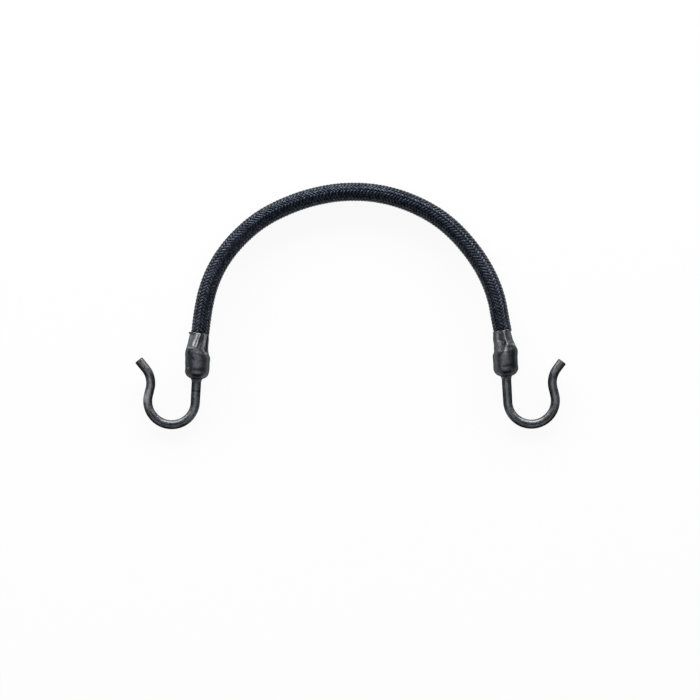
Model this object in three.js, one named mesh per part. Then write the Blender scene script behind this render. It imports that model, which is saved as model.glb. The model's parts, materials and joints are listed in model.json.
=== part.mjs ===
// Bungee cord: a braided elastic cord with a crimped bell ferrule on each end, and a wire hook that
// turns in the nose of each ferrule. It lies on a floor in an open arch, as it is put down by hand.
// Millimetres. +Z is up, +X is to the right, and the hooks are towards -Y.
import * as THREE from 'three';

// Cord: rubber strands in a braided cover.
const CORD_DIAMETER = 8;
const CORD_SIDES = 12;
const COVER_WALL = 0.7;
const STRAND_ROWS = 5;
const CORD_STEP = 11;
// Free length over which the cord draws in to the crimp, and the length that lies inside the bulb.
const NECKING_LENGTH = 1.8;
const TAIL_IN_BULB = 5;

// Ferrule: a drawn cup. A pleated neck is crimped on the cord, and a bulb holds the cord clip and the
// hook's head. Lengths run along its axis from the mouth to the nose.
const FERRULE_WALL = 0.45;
const FERRULE_SIDES = 36;
const LIP_FLARE = 0.15;
const LIP_LENGTH = 1;
const MOUTH_RADIUS = 4.35;
const NECK_BASE_RADIUS = 5.05;
const NECK_LENGTH = 9;
const SHOULDER_LENGTH = 3;
const BULB_LENGTH = 12;
const NOSE_RADIUS = 3.4;
const COLLAR_WALL = 0.3;
const COLLAR_LENGTH = 1.1;
const COLLAR_FILLET = 0.8;
const PLEATS = 6;
const PLEAT_DEPTH = 0.5;
const PLEAT_FULL_LENGTH = 3.5;
// Turn of the first ridge from the hook's open side, which leaves a valley facing up, inside of the middle.
const PLEAT_TURN = THREE.MathUtils.degToRad(16);
// Depth below the mouth at which the neck's axis and the bulb's axis cross: a crimp is never quite straight.
const CROSSING_DEPTH = 5.3;

// Cord clip: a wire ring closed on the cord's end, too wide to pass the crimp.
const CLIP_WIRE = 1.2;
const CLIP_SIDES = 8;
const CLIP_STEPS = 24;
const CLIP_OPENING = THREE.MathUtils.degToRad(28);
const CLIP_FROM_NECK = 3.2;

// Hook: one bent wire with an upset head.
const WIRE_DIAMETER = 4;
const WIRE_SIDES = 14;
const HEAD_OVERHANG = 1.5;
const HEAD_RIM = 0.8;
const HEAD_EDGE = 0.4;
const SHANK_LENGTH = 10.65;
const BEND_RADIUS = 10.85;
const BEND_SWEEP = THREE.MathUtils.degToRad(190.5);
const LIMB_LENGTH = 3.4;
const TIP_BEND_RADIUS = 10.8;
const TIP_BEND_SWEEP = THREE.MathUtils.degToRad(49);
const TIP_LENGTH = 5.1;
const TIP_CHAMFER = 0.3;
// Each hook points a little outwards.
const SHANK_SPLAY = THREE.MathUtils.degToRad(3.5);
// The right ferrule is crimped a little further up the cord, on a shank that is longer by as much.
const RIGHT_FERRULE_LIFT = 1.1;

// Clearances.
const STRAND_GAP = 0.2;
const CORE_GAP = 0.2;
const CRIMP_GAP = 0.2;
const CLIP_GAP = 0.2;
const BULB_GAP = 0.55;
const SWIVEL_GAP = 0.2;
const SEAT_GAP = 0.3;

// Left half of the cord's centre line, from the ferrule's mouth to the middle of the arch. The ferrule
// holds its end off the floor, and the middle third lies down. The right half mirrors it.
const HALF_ROUTE = [
  [-69.85, 21.34, 7.47],
  [-68.75, 27.95, 7.72],
  [-67.6, 34.55, 7.7],
  [-65.75, 41.55, 7.4],
  [-63.05, 48.25, 6.85],
  [-59.6, 54.55, 6.3],
  [-55.5, 60.35, 5.7],
  [-50.8, 65.65, 5.1],
  [-45.5, 70.45, 4.6],
  [-39.7, 74.65, 4.25],
  [-33.5, 78.2, 4.05],
  [-27.1, 81.15, 4],
  [-20.5, 83.45, 4],
  [-13.75, 85.05, 4],
  [-6.9, 86.05, 4],
  [0, 86.35, 4],
];

// Points of a path that are closer than this are one point.
const REPEAT_DISTANCE = 1e-4;

const UP = new THREE.Vector3(0, 0, 1);
const WIRE_RADIUS = WIRE_DIAMETER / 2;
const BORE_RADIUS = WIRE_RADIUS + SWIVEL_GAP;
const COLLAR_RADIUS = BORE_RADIUS + COLLAR_WALL;
const HEAD_RADIUS = WIRE_RADIUS + HEAD_OVERHANG;

// The crimp's valleys squeeze the cord, the clip goes round the squeezed cord, and the bulb round the clip.
const CRIMPED_RADIUS = MOUTH_RADIUS - PLEAT_DEPTH - FERRULE_WALL - CRIMP_GAP;
const CLIP_RING_RADIUS = CRIMPED_RADIUS + CLIP_GAP + CLIP_WIRE / 2;
const BULB_RADIUS = CLIP_RING_RADIUS + CLIP_WIRE / 2 + BULB_GAP + FERRULE_WALL;

// Depths below the mouth.
const SHOULDER_DEPTH = NECK_LENGTH + SHOULDER_LENGTH;
const NOSE_DEPTH = NECK_LENGTH + BULB_LENGTH;
const CORNER_DEPTH = NOSE_DEPTH - NOSE_RADIUS;
const COLLAR_DEPTH = NOSE_DEPTH + COLLAR_LENGTH;
const TAIL_DEPTH = NECK_LENGTH + TAIL_IN_BULB;
const CLIP_DEPTH = NECK_LENGTH + CLIP_FROM_NECK;

// The bulb's lower corner is an arc, and this is its centre's distance from the bulb's axis.
const CORNER_OFFSET = BULB_RADIUS - NOSE_RADIUS;

// Slope of the shank when the bulb's round corner and the bottom of the hook's bend both touch the floor.
function shankDip(bendDepth) {
  const cornerToBend = bendDepth + BEND_RADIUS - CORNER_DEPTH;
  return (
    Math.atan2(CORNER_OFFSET, cornerToBend) +
    Math.asin((NOSE_RADIUS - WIRE_RADIUS) / Math.hypot(CORNER_OFFSET, cornerToBend))
  );
}

const coatedSteel = () =>
  new THREE.MeshStandardMaterial({ color: 0x1b1c1f, roughness: 0.42, metalness: 0.35 });
const clipSteel = () =>
  new THREE.MeshStandardMaterial({ color: 0x9a9ca0, roughness: 0.4, metalness: 1 });
const braid = () =>
  new THREE.MeshStandardMaterial({ color: 0x252a36, roughness: 0.75, metalness: 0 });
const rubber = () =>
  new THREE.MeshStandardMaterial({ color: 0xb39c78, roughness: 0.85, metalness: 0 });

// Closed surface through rings of points that run counter-clockwise about the direction of travel.
// A looped loft joins its last ring to its first, and an open one has a flat cap at each end.
function loft(rings, looped = false) {
  const count = rings[0].length;
  const spans = looped ? rings.length : rings.length - 1;
  const index = [];
  for (let i = 0; i < spans; i += 1) {
    const here = i * count;
    const next = ((i + 1) % rings.length) * count;
    for (let j = 0; j < count; j += 1) {
      const k = (j + 1) % count;
      index.push(here + j, here + k, next + k);
      index.push(here + j, next + k, next + j);
    }
  }
  if (!looped) {
    const last = (rings.length - 1) * count;
    for (let j = 1; j < count - 1; j += 1) {
      index.push(0, j + 1, j);
      index.push(last, last + j, last + j + 1);
    }
  }
  const geometry = new THREE.BufferGeometry().setFromPoints(rings.flat());
  geometry.setIndex(index);
  geometry.computeVertexNormals();
  return geometry;
}

// Points along a path, without the repeats where its pieces meet.
function pathPoints(path, divisions) {
  return path
    .getPoints(divisions)
    .filter((point, i, points) => i === 0 || point.distanceTo(points[i - 1]) > REPEAT_DISTANCE);
}

// Round wire through stations in one plane: each station has a point and a radius.
function bentWire(stations, sides, planeNormal) {
  const rings = stations.map(({ point, radius }, i) => {
    const before = stations[Math.max(i - 1, 0)].point;
    const after = stations[Math.min(i + 1, stations.length - 1)].point;
    const travel = new THREE.Vector3().subVectors(after, before).normalize();
    const across = new THREE.Vector3().crossVectors(planeNormal, travel);
    return Array.from({ length: sides }, (_, j) => {
      const angle = (j / sides) * 2 * Math.PI;
      return point
        .clone()
        .addScaledVector(across, radius * Math.cos(angle))
        .addScaledVector(planeNormal, radius * Math.sin(angle));
    });
  });
  return loft(rings);
}

// Turn whose +z runs along the axis and whose +x is level and points left (-1) or right (+1).
function levelTurn(axis, side) {
  const x = new THREE.Vector3().crossVectors(axis, UP).multiplyScalar(side).normalize();
  const y = new THREE.Vector3().crossVectors(axis, x);
  return new THREE.Quaternion().setFromRotationMatrix(new THREE.Matrix4().makeBasis(x, y, axis));
}

// One end of the bungee in its own frame: origin at the middle of the ferrule's mouth, +z out along the
// cord, +x level towards the hook's open side. The lift moves the ferrule up the cord and away from the
// hook, and the end's height is the one at which the bulb's round corner touches the floor.
function makeEnd(mouth, cordDirection, side, lift) {
  const group = new THREE.Group();
  group.position.copy(mouth).addScaledVector(cordDirection, lift);
  group.quaternion.copy(levelTurn(cordDirection, side));

  const bendDepth = COLLAR_DEPTH + SHANK_LENGTH + lift;
  const dip = shankDip(bendDepth);
  const shankAxis = new THREE.Vector3(
    -side * Math.sin(SHANK_SPLAY) * Math.cos(dip),
    Math.cos(SHANK_SPLAY) * Math.cos(dip),
    Math.sin(dip),
  );
  const crossingHeight =
    (CORNER_DEPTH - CROSSING_DEPTH) * Math.sin(dip) + CORNER_OFFSET * Math.cos(dip) + NOSE_RADIUS;
  group.position.z = crossingHeight + CROSSING_DEPTH * cordDirection.z;

  const shank = new THREE.Group();
  shank.position.z = -CROSSING_DEPTH;
  shank.quaternion.copy(group.quaternion).invert().multiply(levelTurn(shankAxis, side));
  group.add(shank);
  return { group, shank, side, bendDepth };
}

// Frame on the ferrule's axis at a depth below the mouth: the neck's own axis first, the shank's after
// the shoulder.
function ferruleFrame(end, depth) {
  const turned = THREE.MathUtils.smoothstep(depth, NECK_LENGTH, SHOULDER_DEPTH);
  const onNeck = new THREE.Vector3(0, 0, -depth);
  const onShank = new THREE.Vector3(0, 0, CROSSING_DEPTH - depth)
    .applyQuaternion(end.shank.quaternion)
    .add(end.shank.position);
  const quaternion = new THREE.Quaternion().slerp(end.shank.quaternion, turned);
  return { point: onNeck.lerp(onShank, turned), quaternion };
}

// Section of the ferrule's outer or inner surface as radius against depth, from the mouth to the exit hole.
function ferruleProfile(inset, exitRadius, exitFillet) {
  const corner = NOSE_RADIUS - inset;
  const cornerEnd = (exitRadius + exitFillet - CORNER_OFFSET) / corner;
  const floor = CORNER_DEPTH + corner;
  const path = new THREE.Path();
  path.moveTo(MOUTH_RADIUS + LIP_FLARE - inset, 0);
  path.lineTo(MOUTH_RADIUS - inset, LIP_LENGTH);
  path.quadraticCurveTo(
    MOUTH_RADIUS - inset,
    (LIP_LENGTH + NECK_LENGTH) / 2,
    NECK_BASE_RADIUS - inset,
    NECK_LENGTH,
  );
  path.quadraticCurveTo(
    BULB_RADIUS - inset,
    NECK_LENGTH + SHOULDER_LENGTH / 2,
    BULB_RADIUS - inset,
    SHOULDER_DEPTH,
  );
  path.lineTo(BULB_RADIUS - inset, CORNER_DEPTH);
  path.absarc(CORNER_OFFSET, CORNER_DEPTH, corner, 0, Math.acos(Math.max(cornerEnd, 0)));
  path.quadraticCurveTo(exitRadius, floor, exitRadius, floor + exitFillet);
  path.lineTo(exitRadius, COLLAR_DEPTH);
  return pathPoints(path, 3);
}

// Ring round the ferrule's axis. Pleats draw the neck in and fade out towards the shoulder.
function ferruleRing(end, { x: radius, y: depth }) {
  const { point, quaternion } = ferruleFrame(end, depth);
  const fade = 1 - THREE.MathUtils.smoothstep(depth, PLEAT_FULL_LENGTH, NECK_LENGTH);
  return Array.from({ length: FERRULE_SIDES }, (_, j) => {
    const fromRidge = (j / FERRULE_SIDES) * 2 * Math.PI;
    const angle = fromRidge - end.side * PLEAT_TURN;
    const valley = (1 - Math.cos(PLEATS * fromRidge)) / 2;
    const reach = radius - PLEAT_DEPTH * fade * valley;
    return new THREE.Vector3(reach * Math.cos(angle), reach * Math.sin(angle), 0)
      .applyQuaternion(quaternion)
      .add(point);
  });
}

// The cup goes up its outer surface and down its inner one.
function ferruleGeometry(end) {
  const outside = ferruleProfile(0, COLLAR_RADIUS, COLLAR_FILLET).reverse();
  const inside = ferruleProfile(FERRULE_WALL, BORE_RADIUS, 0);
  return loft(
    [...outside, ...inside].map((station) => ferruleRing(end, station)),
    true,
  );
}

// Ring of wire round the cord's end, left open at its cut.
function clipGeometry(end) {
  const { point, quaternion } = ferruleFrame(end, CLIP_DEPTH);
  const axis = new THREE.Vector3(0, 0, 1).applyQuaternion(quaternion);
  const stations = Array.from({ length: CLIP_STEPS + 1 }, (_, i) => {
    const angle = CLIP_OPENING / 2 + (i / CLIP_STEPS) * (2 * Math.PI - CLIP_OPENING);
    const onRing = new THREE.Vector3(Math.cos(angle), Math.sin(angle), 0)
      .multiplyScalar(CLIP_RING_RADIUS)
      .applyQuaternion(quaternion)
      .add(point);
    return { point: onRing, radius: CLIP_WIRE / 2 };
  });
  return bentWire(stations, CLIP_SIDES, axis);
}

// Hook in the shank's frame: the wire runs down +z, round the bend towards +x, up the limb and out to the
// tip. The head's cone seats in the round inside of the nose.
function hookGeometry(end) {
  const level = (depth) => CROSSING_DEPTH - depth;
  const innerCorner = NOSE_RADIUS - FERRULE_WALL;
  const seatAngle = Math.acos((HEAD_RADIUS + SEAT_GAP - CORNER_OFFSET) / innerCorner);
  const rimLevel = level(CORNER_DEPTH + innerCorner * Math.sin(seatAngle) - SEAT_GAP);
  const shankLevel = level(NOSE_DEPTH - FERRULE_WALL - SEAT_GAP);
  const bendLevel = level(end.bendDepth);

  const limbDirection = new THREE.Vector2(Math.sin(BEND_SWEEP), -Math.cos(BEND_SWEEP));
  const limbSide = new THREE.Vector2(limbDirection.y, -limbDirection.x);
  const bendEnd = new THREE.Vector2(BEND_RADIUS, bendLevel).addScaledVector(limbSide, BEND_RADIUS);
  const limbEnd = bendEnd.clone().addScaledVector(limbDirection, LIMB_LENGTH);
  const tipCentre = limbEnd.clone().addScaledVector(limbSide, TIP_BEND_RADIUS);
  const tipStart = limbSide.clone().negate().angle();
  const tipDirection = limbDirection.clone().rotateAround(new THREE.Vector2(), -TIP_BEND_SWEEP);

  const wire = new THREE.Path();
  wire.moveTo(0, shankLevel);
  wire.lineTo(0, bendLevel);
  wire.absarc(BEND_RADIUS, bendLevel, BEND_RADIUS, Math.PI, Math.PI + BEND_SWEEP);
  wire.lineTo(limbEnd.x, limbEnd.y);
  wire.absarc(tipCentre.x, tipCentre.y, TIP_BEND_RADIUS, tipStart, tipStart - TIP_BEND_SWEEP, true);
  const tip = wire.getPoint(1).addScaledVector(tipDirection, TIP_LENGTH - TIP_CHAMFER);
  wire.lineTo(tip.x, tip.y);

  const station = (x, z, radius) => ({ point: new THREE.Vector3(x, 0, z), radius });
  const cut = tip.clone().addScaledVector(tipDirection, TIP_CHAMFER);
  const stations = [
    station(0, rimLevel + HEAD_RIM + HEAD_EDGE, HEAD_RADIUS - HEAD_EDGE),
    station(0, rimLevel + HEAD_RIM, HEAD_RADIUS),
    station(0, rimLevel, HEAD_RADIUS),
    ...pathPoints(wire, 8).map(({ x, y }) => station(x, y, WIRE_RADIUS)),
    station(cut.x, cut.y, WIRE_RADIUS - TIP_CHAMFER),
  ];
  return bentWire(stations, WIRE_SIDES, new THREE.Vector3(0, 1, 0));
}

// The cord's centre line with its two tails inside the ferrules, as stations with a level section frame
// and the share of the free cord's size that is left there.
function cordStations(route, ends) {
  const tails = ends.map((end) =>
    [TAIL_DEPTH, CLIP_DEPTH, NECK_LENGTH, NECK_LENGTH / 2].map((depth) =>
      end.group.localToWorld(ferruleFrame(end, depth).point),
    ),
  );
  const curve = new THREE.CatmullRomCurve3([...tails[0], ...route, ...tails[1].reverse()]);
  curve.arcLengthDivisions = 2000;
  const length = curve.getLength();
  const free = length - 2 * TAIL_DEPTH - 2 * NECKING_LENGTH;
  const steps = 2 * Math.ceil(free / (2 * CORD_STEP));
  const start = [0, CLIP_FROM_NECK, TAIL_DEPTH - NECK_LENGTH / 2, TAIL_DEPTH];
  const middle = Array.from(
    { length: steps + 1 },
    (_, i) => TAIL_DEPTH + NECKING_LENGTH + (i / steps) * free,
  );
  const distances = [...start, ...middle, ...start.map((s) => length - s).reverse()];
  return distances.map((distance) => {
    const travel = curve.getTangentAt(distance / length);
    const left = new THREE.Vector3().crossVectors(UP, travel).normalize();
    const toMouth = Math.min(distance, length - distance) - TAIL_DEPTH;
    const opened = THREE.MathUtils.smoothstep(toMouth, 0, NECKING_LENGTH);
    return {
      point: curve.getPointAt(distance / length),
      left,
      above: new THREE.Vector3().crossVectors(travel, left),
      share: THREE.MathUtils.lerp(CRIMPED_RADIUS / COVER_CORNER_RADIUS, 1, opened),
    };
  });
}

// A section's points at each station, scaled with the cord.
function cordRings(stations, section) {
  return stations.map(({ point, left, above, share }) =>
    section.map(({ x, y }) =>
      point
        .clone()
        .addScaledVector(left, x * share)
        .addScaledVector(above, y * share),
    ),
  );
}

// Regular polygon with a flat side at the bottom, of a given radius to its flats.
const FLAT_TO_CORNER = 1 / Math.cos(Math.PI / CORD_SIDES);
const COVER_CORNER_RADIUS = (CORD_DIAMETER / 2) * FLAT_TO_CORNER;
function polygon(flatRadius) {
  return Array.from({ length: CORD_SIDES }, (_, j) => {
    const angle = ((j + 0.5) / CORD_SIDES) * 2 * Math.PI;
    const radius = flatRadius * FLAT_TO_CORNER;
    return new THREE.Vector2(radius * Math.cos(angle), radius * Math.sin(angle));
  });
}

function coverGeometry(stations) {
  const outside = cordRings(stations, polygon(CORD_DIAMETER / 2));
  const inside = cordRings(stations, polygon(CORD_DIAMETER / 2 - COVER_WALL));
  return loft([...outside, ...inside.reverse()], true);
}

// Middles of the strands: a square pattern without its four corners, packed into the cover's bore.
function strandPattern() {
  const core = CORD_DIAMETER / 2 - COVER_WALL - CORE_GAP;
  const half = STRAND_ROWS / 2;
  const pitch = core / Math.hypot(half, half - 1);
  const middles = [];
  for (let row = 0; row < STRAND_ROWS; row += 1) {
    for (let column = 0; column < STRAND_ROWS; column += 1) {
      const place = new THREE.Vector2(column + 0.5 - half, row + 0.5 - half);
      const isCorner = Math.abs(place.x) + 1 > half && Math.abs(place.y) + 1 > half;
      if (!isCorner) {
        middles.push(place.multiplyScalar(pitch));
      }
    }
  }
  return { middles, side: pitch - STRAND_GAP };
}

function strandSection(middle, side) {
  const corners = [[1, 1], [-1, 1], [-1, -1], [1, -1]];
  return corners.map(([x, y]) => new THREE.Vector2(middle.x + (x * side) / 2, middle.y + (y * side) / 2));
}

function named(name, geometry, material) {
  const mesh = new THREE.Mesh(geometry, material);
  mesh.name = name;
  return mesh;
}

const bungee = new THREE.Group();

const leftRoute = HALF_ROUTE.map(([x, y, z]) => new THREE.Vector3(x, y, z));
const rightRoute = HALF_ROUTE.map(([x, y, z]) => new THREE.Vector3(-x, y, z));

const ends = [
  { name: 'left', side: -1, lift: 0, half: leftRoute },
  { name: 'right', side: 1, lift: RIGHT_FERRULE_LIFT, half: rightRoute },
].map(({ name, side, lift, half: [mouth, inward] }) => {
  const end = makeEnd(mouth, new THREE.Vector3().subVectors(inward, mouth).normalize(), side, lift);
  end.group.add(named(`${name}_ferrule`, ferruleGeometry(end), coatedSteel()));
  end.group.add(named(`${name}_cord_clip`, clipGeometry(end), clipSteel()));
  end.shank.add(named(`${name}_hook`, hookGeometry(end), coatedSteel()));
  end.group.updateMatrixWorld(true);
  bungee.add(end.group);
  return end;
});

const stations = cordStations(
  [
    ends[0].group.position,
    ...leftRoute.slice(1),
    ...rightRoute.slice(1, -1).reverse(),
    ends[1].group.position,
  ],
  ends,
);
bungee.add(named('braided_cover', coverGeometry(stations), braid()));

const { middles, side: strandSide } = strandPattern();
middles.forEach((middle, i) => {
  const name = `rubber_strand_${String(i + 1).padStart(2, '0')}`;
  const geometry = loft(cordRings(stations, strandSection(middle, strandSide)));
  bungee.add(named(name, geometry, rubber()));
});

export default bungee;
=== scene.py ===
"""Looks of a bungee cord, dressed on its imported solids.

An elastic cord in a cover of braided yarn lies on a pale floor in an open arch. Each end is held in
a crimped bell ferrule, and a wire hook turns in the nose of each ferrule. Lengths are in metres,
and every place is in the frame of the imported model: +X to the right, +Y from the hooks to the arch,
+Z up.
"""

import json
import logging
import math
from dataclasses import dataclass, field
from enum import Enum
from typing import Any, Optional, Union

import bpy
import numpy as np
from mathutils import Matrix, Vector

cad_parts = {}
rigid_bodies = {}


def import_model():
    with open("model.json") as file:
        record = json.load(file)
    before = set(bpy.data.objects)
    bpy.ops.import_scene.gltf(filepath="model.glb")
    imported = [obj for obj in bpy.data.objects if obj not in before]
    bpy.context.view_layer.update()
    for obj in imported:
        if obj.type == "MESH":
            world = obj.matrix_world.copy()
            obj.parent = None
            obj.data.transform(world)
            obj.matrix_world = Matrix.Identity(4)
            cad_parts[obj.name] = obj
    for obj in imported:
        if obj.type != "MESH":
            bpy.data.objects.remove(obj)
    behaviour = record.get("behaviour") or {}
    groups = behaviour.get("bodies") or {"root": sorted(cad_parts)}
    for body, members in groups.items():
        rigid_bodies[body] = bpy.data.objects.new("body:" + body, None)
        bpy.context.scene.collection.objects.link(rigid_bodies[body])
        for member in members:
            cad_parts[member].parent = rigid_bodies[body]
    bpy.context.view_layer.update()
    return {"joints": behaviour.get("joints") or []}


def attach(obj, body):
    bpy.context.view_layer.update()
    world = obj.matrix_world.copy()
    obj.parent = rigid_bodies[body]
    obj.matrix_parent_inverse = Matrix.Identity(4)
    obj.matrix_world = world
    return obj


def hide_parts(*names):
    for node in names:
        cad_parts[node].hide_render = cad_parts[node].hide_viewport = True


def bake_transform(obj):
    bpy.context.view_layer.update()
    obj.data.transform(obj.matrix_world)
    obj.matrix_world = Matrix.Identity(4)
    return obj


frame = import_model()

LOG = logging.getLogger("bungee")

Array = np.ndarray
Number = Union[np.ndarray, float]
Pair = tuple[float, float]
Knots = tuple[Pair, ...]
Point = tuple[float, float, float]
Colour = tuple[float, float, float]
Material = bpy.types.Material
Object = bpy.types.Object
Value = Union["Shade", float, Colour]

UP = np.array([0.0, 0.0, 1.0])
FULL_TURN = 2.0 * math.pi
WHITE = (1.0, 1.0, 1.0)


class Side(Enum):
    """The two ends of the cord, with the sign of their place on X."""

    LEFT = -1
    RIGHT = 1

    @property
    def label(self) -> str:
        """The side's word in node names."""
        return self.name.lower()

    @property
    def body(self) -> str:
        """The body that the ferrule of this side belongs to."""
        return f"{self.label}_end"


# Numbers on arrays


def smoothstep(x: Number, low: Number, high: Number) -> Array:
    """Rise from 0 at low to 1 at high as 3t^2 - 2t^3, with t the clipped share of the way.

    Args:
        x: Values to rise with.
        low: Value below which the result is 0.
        high: Value above which the result is 1.

    Returns:
        The risen values, in the shape of the inputs broadcast together.
    """
    t = np.clip((np.asarray(x, float) - low) / (high - low), 0.0, 1.0)
    return t * t * (3.0 - 2.0 * t)


def fall(x: Number, low: Number, high: Number) -> Array:
    """Fall from 1 at low to 0 at high, as a smoothstep upside down."""
    return 1.0 - smoothstep(x, low, high)


def bell(x: Number, middle: Number, width: Number) -> Array:
    """Bell curve exp(-((x - middle) / width)^2), which is 1 at its middle."""
    return np.exp(-(((x - middle) / width) ** 2))


def eased(x: Array, knots: Knots) -> Array:
    """A curve that eases with a smoothstep from each knot's value to the next one's.

    Args:
        x: Places to take it at.
        knots: Pairs of place and value, in order of place.

    Returns:
        The values, in the shape of x.
    """
    total = np.full(np.shape(x), knots[0][1])
    for (low, before), (high, after) in zip(knots, knots[1:]):
        total = total + (after - before) * smoothstep(x, low, high)
    return total


def unit(vectors: Array) -> Array:
    """The vectors divided by their lengths."""
    return vectors / np.linalg.norm(vectors, axis=-1, keepdims=True)


def mixed(a: Array, b: Array, share: Array) -> Array:
    """Vectors a and b mixed by a share that has one value for each vector."""
    return a + (b - a) * np.asarray(share)[..., None]


def wrapped(angle: Array) -> Array:
    """The angles, brought to within half a turn of zero."""
    return np.angle(np.exp(1j * angle))


def distances(line: Array) -> Array:
    """Distance of each of a polyline's points from its first one, measured along it."""
    return np.concatenate([[0.0], np.cumsum(np.linalg.norm(np.diff(line, axis=0), axis=1))])


def ripple(across: Array, along: Array, waves: int, longest: float, seed: int) -> Array:
    """Smooth bumps: a sum of seeded cosines in two directions, between about -1 and 1.

    Each one closes one to five times round the surface, and has 0.35 to 1 times the longest length.

    Args:
        across: Angles round the surface.
        along: Distances along the surface.
        waves: How many cosines are summed.
        longest: Longest wave along the surface.
        seed: Seed of the draw.

    Returns:
        Heights in the shape of the two inputs broadcast together.
    """
    draw = np.random.default_rng(seed)
    turns = draw.integers(1, 6, waves)
    lengths = longest * draw.uniform(0.35, 1.0, waves)
    phases = draw.uniform(0.0, FULL_TURN, (2, waves))
    heights = np.cos(across[..., None] * turns + phases[0])
    heights = heights * np.cos(FULL_TURN * along[..., None] / lengths + phases[1])
    return heights.sum(-1) / math.sqrt(waves)


def even_steps(line: Array, count: int) -> tuple[Array, float]:
    """A polyline of any dimension again, at equal steps of its length.

    Args:
        line: Points of the polyline.
        count: Number of points wanted.

    Returns:
        The points, and the line's length.
    """
    along = distances(line)
    at = np.linspace(0.0, along[-1], count)
    columns = [np.interp(at, along, column) for column in line.T]
    return np.stack(columns, axis=1), float(along[-1])


def smooth_line(knots: Array, count: int, finer: int = 40) -> tuple[Array, float]:
    """Natural cubic spline through the knots, at equal steps of its own length.

    The second derivatives m solve h0 m0 + 2(h0 + h1) m1 + h1 m2 = 6 (slope1 - slope0) at each inner
    knot, with zero at both ends, over the chord lengths h.

    Args:
        knots: Points that the line goes through.
        count: Number of points wanted.
        finer: Points for each knot of the fine line that the equal steps are taken from.

    Returns:
        The points, and the line's length.
    """
    at = distances(knots)
    steps = np.diff(at)
    slopes = np.diff(knots, axis=0) / steps[:, None]
    system = np.eye(len(knots))
    rows = np.arange(1, len(knots) - 1)
    system[rows, rows - 1] = steps[:-1]
    system[rows, rows] = 2.0 * (steps[:-1] + steps[1:])
    system[rows, rows + 1] = steps[1:]
    right = np.zeros_like(knots)
    right[1:-1] = 6.0 * np.diff(slopes, axis=0)
    bends = np.linalg.solve(system, right)

    fine = np.linspace(0.0, at[-1], finer * len(knots))
    span = np.clip(np.searchsorted(at, fine) - 1, 0, len(steps) - 1)
    h = steps[span][:, None]
    before = (fine - at[span])[:, None]
    after = h - before
    line = (
        bends[span] * after**3 / (6.0 * h)
        + bends[span + 1] * before**3 / (6.0 * h)
        + (knots[span] / h - bends[span] * h / 6.0) * after
        + (knots[span + 1] / h - bends[span + 1] * h / 6.0) * before
    )
    return even_steps(line, count)


def quadratic(start: Pair, pull: Pair, end: Pair, count: int = 24) -> Array:
    """Points (1-t)^2 start + 2t(1-t) pull + t^2 end of a quadratic curve."""
    t = np.linspace(0.0, 1.0, count)[:, None]
    return (1 - t) ** 2 * np.array(start) + 2 * t * (1 - t) * np.array(pull) + t**2 * np.array(end)


def tube_faces(rings: int, sides: int, looped: bool = False) -> Array:
    """Four-cornered faces of a tube whose points are rings of equal count, one after the other.

    Args:
        rings: Number of rings.
        sides: Points of a ring.
        looped: True where the last ring joins the first.

    Returns:
        Point numbers, four for each face. The faces point outwards where the rings run
        counter-clockwise about the direction of travel.
    """
    i = np.arange(rings if looped else rings - 1)[:, None]
    j = np.arange(sides)[None, :]
    here, there = i * sides, (i + 1) % rings * sides
    following = (j + 1) % sides
    corners = [here + j, here + following, there + following, there + j]
    return np.stack(np.broadcast_arrays(*corners), axis=-1).reshape(-1, 4)


def tube_caps(rings: int, sides: int) -> Array:
    """Point numbers of an open tube's two flat ends, each one face with a corner for each side."""
    first = np.arange(sides)
    return np.stack([first[::-1], first + (rings - 1) * sides])


def closed_tube(rings: int, sides: int) -> list[list[int]]:
    """All faces of a tube with two flat ends."""
    return tube_faces(rings, sides).tolist() + tube_caps(rings, sides).tolist()


# Meshes


@dataclass
class Piece:
    """One visible piece: its surface, what it stands for and how it is finished."""

    name: str  # name of the object
    nodes: list[str]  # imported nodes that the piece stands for
    slot: str  # material slot of the record; not used
    finish: Material  # material of the whole piece
    points: Array  # points in the frame, with x, y and z on the last axis
    faces: list[list[int]]  # lists of point numbers
    uv: Array  # surface coordinates of the points, in metres
    tones: dict[str, Array] = field(default_factory=dict)  # further values, by attribute name
    crease: Optional[float] = None  # angle past which an edge stays sharp

    def build(self) -> Object:
        """Makes the object.

        Returns:
            The object, with its place in its mesh.
        """
        mesh = bpy.data.meshes.new(self.name)
        mesh.from_pydata(self.points.reshape(-1, 3).tolist(), [], self.faces)
        mesh.polygons.foreach_set("use_smooth", np.ones(len(mesh.polygons), bool))
        corners = np.zeros(len(mesh.loops), np.int32)
        mesh.loops.foreach_get("vertex_index", corners)
        layer = mesh.uv_layers.new(name="surface")
        layer.data.foreach_set("uv", self.uv.reshape(-1, 2)[corners].astype(np.float32).ravel())
        for name, values in self.tones.items():
            tone = mesh.attributes.new(name, "FLOAT", "POINT")
            tone.data.foreach_set("value", values.astype(np.float32).ravel())
        if self.crease is not None:
            mesh.set_sharp_from_angle(angle=self.crease)
        mesh.materials.append(self.finish)
        made = bpy.data.objects.new(self.name, mesh)
        bpy.context.scene.collection.objects.link(made)
        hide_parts(*self.nodes)
        LOG.info("%s: %d points, %d faces", self.name, len(mesh.vertices), len(mesh.polygons))
        return made


# Shader maths


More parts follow.
